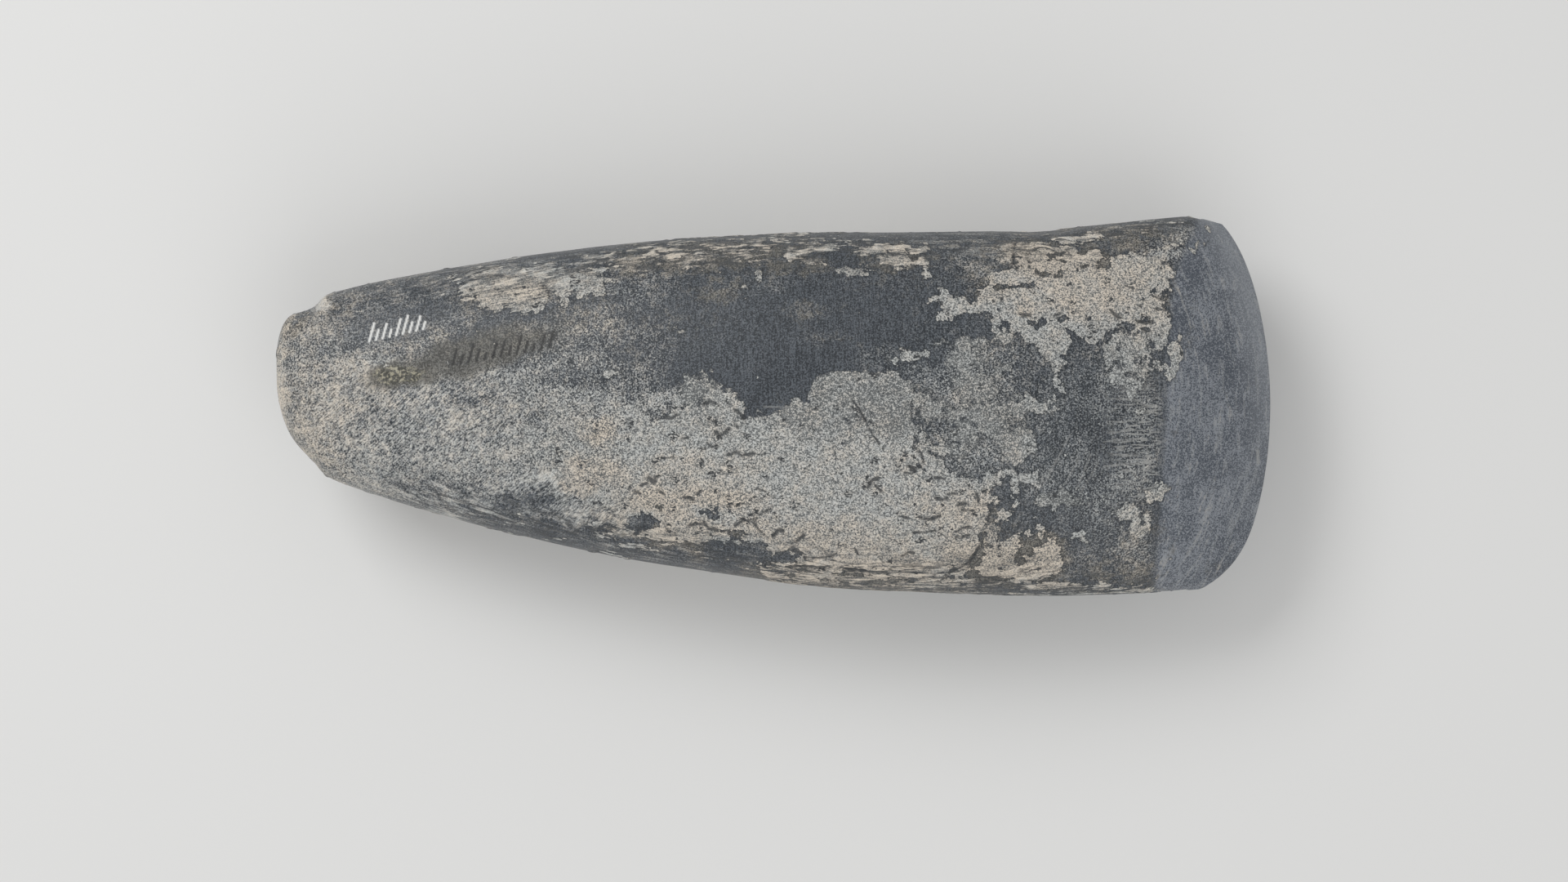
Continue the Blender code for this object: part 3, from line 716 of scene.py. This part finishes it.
class Shader:
    """Builds a material's nodes with short calls."""

    def __init__(self, name):
        self.material = bpy.data.materials.new(name)
        self.material.use_nodes = True
        self.nodes = self.material.node_tree.nodes
        self.links = self.material.node_tree.links
        self.surface = self.nodes["Principled BSDF"]
        self.place = self.nodes.new("ShaderNodeTexCoord").outputs["Object"]

    def feed(self, socket, value):
        if isinstance(value, bpy.types.NodeSocket):
            self.links.new(value, socket)
        else:
            socket.default_value = value

    def math(self, operation, a, b=0.0):
        node = self.nodes.new("ShaderNodeMath")
        node.operation = operation
        self.feed(node.inputs[0], a)
        self.feed(node.inputs[1], b)
        return node.outputs[0]

    def plus(self, a, b):
        return self.math("ADD", a, b)

    def minus(self, a, b):
        return self.math("SUBTRACT", a, b)

    def times(self, a, b):
        return self.math("MULTIPLY", a, b)

    def total(self, *terms):
        """The weighted sum of (value, weight) pairs."""
        result = 0.0
        for value, weight in terms:
            result = self.plus(self.times(value, weight), result)
        return result

    def centred(self, value, strength):
        """The value less a half, times the strength."""
        return self.times(self.minus(value, 0.5), strength)

    def off_middle(self, value):
        """How far the value is from a half, either way."""
        return self.math("ABSOLUTE", self.centred(value, 1.0))

    def blend(self, share, a, b):
        """Number a, going over to number b with the share."""
        return self.plus(a, self.times(self.minus(b, a), share))

    def between(self, value, low, high, to_low=0.0, to_high=1.0, curve="SMOOTHSTEP"):
        """The value's way from low to high, spread over another range."""
        node = self.nodes.new("ShaderNodeMapRange")
        node.interpolation_type = curve
        self.feed(node.inputs["Value"], value)
        node.inputs["From Min"].default_value = low
        node.inputs["From Max"].default_value = high
        node.inputs["To Min"].default_value = to_low
        node.inputs["To Max"].default_value = to_high
        return node.outputs["Result"]

    def mix(self, share, a, b):
        """Colour a, going over to colour b with the share."""
        node = self.nodes.new("ShaderNodeMix")
        node.data_type = "RGBA"
        self.feed(node.inputs["Factor"], share)
        colours = [socket for socket in node.inputs if socket.type == "RGBA"]
        for socket, colour in zip(colours, (a, b)):
            self.feed(socket, colour if isinstance(colour, bpy.types.NodeSocket) else (*colour, 1.0))
        return next(socket for socket in node.outputs if socket.type == "RGBA")

    def kind(self, name):
        """What the mesh's vertices keep under that name."""
        node = self.nodes.new("ShaderNodeAttribute")
        node.attribute_name = name
        return node.outputs["Fac"]

    def cells(self, size):
        """Distance to the nearest of many scattered points, in cell sizes: round lobes."""
        node = self.nodes.new("ShaderNodeTexVoronoi")
        node.inputs["Scale"].default_value = 1 / (size * MM)
        self.links.new(self.place, node.inputs["Vector"])
        return node.outputs["Distance"]

    def noise_at(self, place, detail, spread, roughness=0.5, bent=0.0):
        """Noise from 0 to 1, a half on the average. A low spread gives contrast."""
        node = self.nodes.new("ShaderNodeTexNoise")
        node.inputs["Scale"].default_value = 1.0
        node.inputs["Detail"].default_value = detail
        node.inputs["Roughness"].default_value = roughness
        node.inputs["Distortion"].default_value = bent
        self.links.new(place, node.inputs["Vector"])
        return self.between(node.outputs["Fac"], 0.5 - spread, 0.5 + spread, curve="LINEAR")

    def noise(self, wavelength, detail=2.0, roughness=0.5, shift=0.0, turn=0.0, spread=0.16, bent=0.0):
        """Noise with a wavelength in millimetres, one for each axis or one for all. Shift moves it,
        in millimetres, and turn turns the axes about z, in degrees."""
        waves = wavelength if isinstance(wavelength, tuple) else (wavelength,) * 3
        mapping = self.nodes.new("ShaderNodeMapping")
        mapping.vector_type = "TEXTURE"
        mapping.inputs["Scale"].default_value = [wave * MM for wave in waves]
        mapping.inputs["Location"].default_value = (shift * MM, 2 * shift * MM, 3 * shift * MM)
        mapping.inputs["Rotation"].default_value = (0.0, 0.0, math.radians(turn))
        self.links.new(self.place, mapping.inputs["Vector"])
        return self.noise_at(mapping.outputs[0], detail, spread, roughness, bent)

    def arcs(self, tip, radius, across, along, upwards, spread=0.14):
        """Noise in streaks that run along arcs round the point radius before tip, seen from above.
        Its wavelengths across, along and upwards are in millimetres."""
        place = self.nodes.new("ShaderNodeSeparateXYZ")
        self.links.new(self.place, place.inputs[0])
        x = self.minus(place.outputs[0], tip[0] - radius)
        y = self.minus(place.outputs[1], tip[1])
        squares = self.plus(self.times(x, x), self.times(y, y))
        turned = self.nodes.new("ShaderNodeCombineXYZ")
        self.feed(turned.inputs[0], self.math("DIVIDE", self.math("SQRT", squares), across * MM))
        self.feed(turned.inputs[1], self.times(self.math("ARCTAN2", y, x), radius / (along * MM)))
        self.feed(turned.inputs[2], self.times(place.outputs[2], 1 / (upwards * MM)))
        return self.noise_at(turned.outputs[0], detail=2.0, spread=spread)


# Colours, as linear values
DARK = (0.017, 0.022, 0.028)
DARK_GRAIN = (0.096, 0.110, 0.128)
BROWN = (0.050, 0.047, 0.040)
BROWN_GRAIN = (0.178, 0.172, 0.152)
PALE_COOL = (0.590, 0.605, 0.588)
PALE_WARM = (0.742, 0.657, 0.550)
CRUST_GAP = (0.105, 0.112, 0.115)
PIT = (0.045, 0.049, 0.053)
FACET_BLUE = (0.066, 0.078, 0.098)
# A painted highlight: the lighter colour that the facet takes along the cutting edge
FACET_LIGHT = (0.246, 0.265, 0.294)
FACET_RIM_HIGHLIGHT = (0.330, 0.350, 0.375)
STAIN = (0.042, 0.039, 0.025)
STAIN_YELLOW = (0.410, 0.378, 0.268)
PAINT = (0.74, 0.74, 0.72)
PENCIL = (0.012, 0.012, 0.012)
SCRATCH = (0.360, 0.362, 0.350)
FLOOR = (0.80, 0.80, 0.79)

# How much of each colour its marks take on
COVER = {
    "rim": 0.45, "facet_shade_line": 0.5, "combed": 0.7, "seam": 0.85, "crack": 0.85, "scratch": 0.5,
    "pencil": 0.9, "paint": 0.97,
}
# Relief too fine for the mesh, in metres
FINE_CRUST = 0.05 * MM
FINE_SPECKLE = 0.03 * MM
FINE_GRAIN = 0.03 * MM
PIT_DEPTH = 0.09 * MM
STONE_ROUGHNESS = 0.46
CRUST_ROUGHNESS = 0.82
FACET_TIP = ((EDGE_TIP[0] - AXE_MIDDLE[0]) * PIXEL, 0.0)  # in metres


def stone_material(names):
    """The stone's material, which reads what the vertices keep under these names."""
    shader = Shader("polished stone")
    kinds = {name: shader.kind(name) for name in names}
    fine = shader.total(
        (shader.noise(0.20, detail=1.0, spread=0.13), 0.5),
        (shader.noise(0.31, detail=1.0, shift=3.0, spread=0.13), 0.5),
    )
    grain = shader.noise(0.50, roughness=0.6, shift=7.0, spread=0.14)
    ragged = shader.noise(1.1, detail=3.0, roughness=0.7, shift=13.0, spread=0.14)
    mottle = shader.noise(4.5, detail=3.0, roughness=0.6, shift=11.0, spread=0.18)
    broad = shader.noise(10.0, shift=53.0, spread=0.18)
    upright = shader.noise((0.22, 2.6, 1.2), detail=1.0, roughness=0.6, shift=17.0, spread=0.15)
    slanting = shader.noise(
        (0.25, 1.1, 0.6), detail=1.0, roughness=0.6, shift=27.0, turn=-48.0, spread=0.17
    )
    layers = shader.noise((4.5, 4.5, 0.8), detail=3.0, roughness=0.65, shift=41.0, spread=0.15, bent=0.5)
    lines = shader.noise((3.0, 0.36, 1.0), detail=1.0, shift=43.0, spread=0.15, bent=0.2)
    streaks = shader.noise((3.2, 0.36, 0.9), roughness=0.6, shift=47.0, turn=10.0, spread=0.19, bent=0.3)
    curls = shader.noise((1.9, 0.8, 1.0), roughness=0.6, shift=31.0, spread=0.2, bent=0.4)
    waves = shader.noise((9.0, 9.0, 1.3), shift=59.0, bent=0.4)
    holes = shader.noise(2.0, detail=3.0, roughness=0.6, shift=37.0)
    lobes = shader.cells(1.05)
    arcs = shader.arcs(FACET_TIP, EDGE_BOW * PIXEL, across=0.7, along=5.0, upwards=4.0)

    # Grain: salt and pepper, slanting in places, and in level layers where the stone falls off
    grains = shader.total((fine, 0.76), (grain, 0.14), (ragged, 0.10))
    grains = shader.blend(shader.times(kinds["slanted"], 0.5), grains, slanting)
    grains = shader.blend(shader.times(kinds["streaked"], 0.35), grains, streaks)
    grains = shader.blend(shader.times(kinds["steep"], 0.55), grains, layers)

    # Bare stone: dark, with fine lighter grain and upright polishing lines, brown where it is warm
    warmth = shader.total(
        (kinds["warm"], 1.0), (shader.centred(mottle, 0.45), 1.0), (shader.centred(ragged, 0.35), 1.0)
    )
    polish = shader.total((fine, 0.66), (upright, 0.24), (mottle, 0.10))
    polish = shader.between(polish, 0.26, 0.78)
    bare = shader.mix(polish, DARK, DARK_GRAIN)
    brown = shader.mix(polish, BROWN, BROWN_GRAIN)
    bare = shader.mix(shader.between(warmth, 0.25, 0.75, 0.0, 0.85), bare, brown)

    # Pale grain, which covers as much as the stone is pale
    unevenness = shader.total(
        (shader.centred(grains, 1.15), 1.0),
        (shader.centred(mottle, 0.22), 1.0),
        (shader.centred(ragged, 0.10), 1.0),
    )
    strength = shader.between(kinds["pale"], 0.0, 0.32, 0.30, 1.0)
    level = shader.plus(kinds["pale"], shader.times(unevenness, strength))
    speckled = shader.between(level, 0.04, 0.98)
    pale_colour = shader.mix(shader.between(warmth, -0.25, 0.95), PALE_COOL, PALE_WARM)
    bare = shader.mix(speckled, bare, pale_colour)

    # Facets: bluer, streaked along the cutting edge, with a painted highlight there and a painted shade
    # line
    cloudy = shader.total((fine, 0.56), (arcs, 0.06), (mottle, 0.14), (broad, 0.16), (grain, 0.08))
    facet_colour = shader.mix(shader.between(cloudy, 0.33, 0.70), FACET_BLUE, FACET_LIGHT)
    facet_colour = shader.mix(shader.between(warmth, 0.25, 0.85, 0.0, 0.6), facet_colour, brown)
    worn = shader.times(shader.between(arcs, 0.68, 0.98), shader.between(warmth, 0.1, 0.7, 0.12, 0.4))
    facet_colour = shader.mix(worn, facet_colour, pale_colour)
    # Painted highlight: a lighter band along the cutting edge
    facet_colour = shader.mix(shader.times(kinds["rim"], COVER["rim"]), facet_colour, FACET_RIM_HIGHLIGHT)
    bare = shader.mix(kinds["facet"], bare, facet_colour)
    # Painted shade: a dark line along where the facet begins
    bare = shader.mix(shader.times(kinds["facet_shade_line"], COVER["facet_shade_line"]), bare, DARK)

    # The lacquered stripe, yellow where it is thick
    speck = shader.total((ragged, 0.4), (grain, 0.6))
    thick_colour = shader.mix(shader.between(speck, 0.40, 0.80, 0.0, 0.9), STAIN, STAIN_YELLOW)
    thin_colour = shader.mix(0.25, brown, STAIN)
    stain_colour = shader.mix(shader.between(kinds["stain"], 0.72, 0.9), thin_colour, thick_colour)
    stained = shader.between(kinds["stain"], 0.0, 0.6, 0.0, 0.8, curve="LINEAR")
    bare = shader.mix(stained, bare, stain_colour)

    # Fine combed lines
    combed = shader.times(shader.between(lines, 0.60, 0.85), kinds["combed"])
    bare = shader.mix(shader.times(combed, COVER["combed"]), bare, SCRATCH)

    # The crust's ragged edge, with round lobes, and in layers and streaks in places
    edge = shader.total(
        (kinds["crust"], 1.0), (shader.centred(ragged, 0.55), 1.0), (shader.centred(fine, 0.15), 1.0)
    )
    edge = shader.minus(edge, shader.centred(lobes, 0.75))
    edge = shader.plus(edge, shader.times(shader.centred(layers, 1.1), kinds["steep"]))
    edge = shader.plus(edge, shader.times(shader.centred(streaks, 1.0), kinds["streaked"]))
    softness = shader.plus(shader.times(kinds["thin"], 0.9), 0.12)
    covered = shader.between(shader.math("DIVIDE", edge, softness), -0.5, 0.6)

    # Painted shadow: a dark line on dark stone just beside where the crust ends, as its raised edge would
    # cast
    crust_edge_shadow = shader.times(shader.between(edge, -0.55, -0.08), 0.55)
    bare = shader.mix(shader.times(crust_edge_shadow, shader.between(kinds["pale"], 0.5, 0.25)), bare, DARK)

    # Crust: light and dark grains, and pits along curls
    grains = shader.minus(grains, shader.times(kinds["thin"], 0.26))
    crust_colour = shader.mix(shader.between(grains, 0.15, 0.85), CRUST_GAP, pale_colour)
    chance = shader.total((holes, 1.0), (kinds["pitted"], 0.45))
    pits = shader.times(
        shader.between(shader.off_middle(curls), 0.20, 0.06), shader.between(chance, 0.96, 1.08)
    )
    crust_colour = shader.mix(pits, crust_colour, PIT)
    colour = shader.mix(covered, bare, crust_colour)

    # Wavy dark lines between the layers that the stone's side cuts through
    seams = shader.times(shader.between(shader.off_middle(waves), 0.12, 0.02), kinds["steep"])
    colour = shader.mix(shader.times(seams, COVER["seam"]), colour, PIT)

    for name, mark_colour in (("crack", PIT), ("scratch", SCRATCH), ("pencil", PENCIL), ("paint", PAINT)):
        colour = shader.mix(shader.times(kinds[name], COVER[name]), colour, mark_colour)

    shader.links.new(colour, shader.surface.inputs["Base Color"])
    roughness = shader.between(covered, 0.0, 1.0, STONE_ROUGHNESS, CRUST_ROUGHNESS)
    shader.links.new(roughness, shader.surface.inputs["Roughness"])
    sunk = shader.times(pits, covered)
    height = shader.total(
        (covered, FINE_CRUST), (speckled, FINE_SPECKLE), (fine, FINE_GRAIN), (sunk, -PIT_DEPTH)
    )
    bump = shader.nodes.new("ShaderNodeBump")
    bump.inputs["Distance"].default_value = 1.0
    bump.inputs["Strength"].default_value = 1.0
    shader.links.new(height, bump.inputs["Height"])
    shader.links.new(bump.outputs["Normal"], shader.surface.inputs["Normal"])
    return shader.material


def floor():
    bpy.ops.mesh.primitive_plane_add(size=FLOOR_SIZE, location=(0, 0, -FLOOR_GAP))
    piece = bpy.context.object
    piece.name = "floor"
    material = bpy.data.materials.new("pale floor")
    material.use_nodes = True
    surface = material.node_tree.nodes["Principled BSDF"]
    surface.inputs["Base Color"].default_value = (*FLOOR, 1.0)
    surface.inputs["Roughness"].default_value = FLOOR_ROUGHNESS
    piece.data.materials.append(material)


def area_light(name, place, size, power):
    """A square lamp that shines at the origin. Its size is in metres and its power in watts."""
    data = bpy.data.lights.new(name, "AREA")
    data.size = size
    data.energy = power
    lamp = bpy.data.objects.new(name, data)
    lamp.location = place
    lamp.rotation_euler = (-Vector(place)).to_track_quat("-Z", "Y").to_euler()
    bpy.context.scene.collection.objects.link(lamp)


def studio():
    world = bpy.data.worlds.new("soft daylight")
    world.use_nodes = True
    world.node_tree.nodes["Background"].inputs["Color"].default_value = (1.0, 1.0, 1.0, 1.0)
    world.node_tree.nodes["Background"].inputs["Strength"].default_value = DAYLIGHT
    bpy.context.scene.world = world
    area_light("key light", place=(-0.45, 0.45, 0.66), size=0.45, power=3.3)
    area_light("fill light", place=(0.19, -0.55, 0.56), size=0.8, power=1.6)
    bpy.context.scene.view_settings.view_transform = "Standard"


def photograph_camera():
    data = bpy.data.cameras.new("camera")
    data.lens = LENS
    data.sensor_width = SENSOR
    data.clip_start = 10 * MM
    camera = bpy.data.objects.new("camera", data)
    camera.location = (CAMERA_X, CAMERA_Y, OUTLINE_HEIGHT + CAMERA_RISE)
    bpy.context.scene.collection.objects.link(camera)
    bpy.context.scene.camera = camera


floor()
studio()
photograph_camera()
stone = stone_piece(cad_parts["axe_head"])
kept_names = dress(stone)
stone.data.materials.clear()
stone.data.materials.append(stone_material(kept_names))
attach(stone, "root")
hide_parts("axe_head")
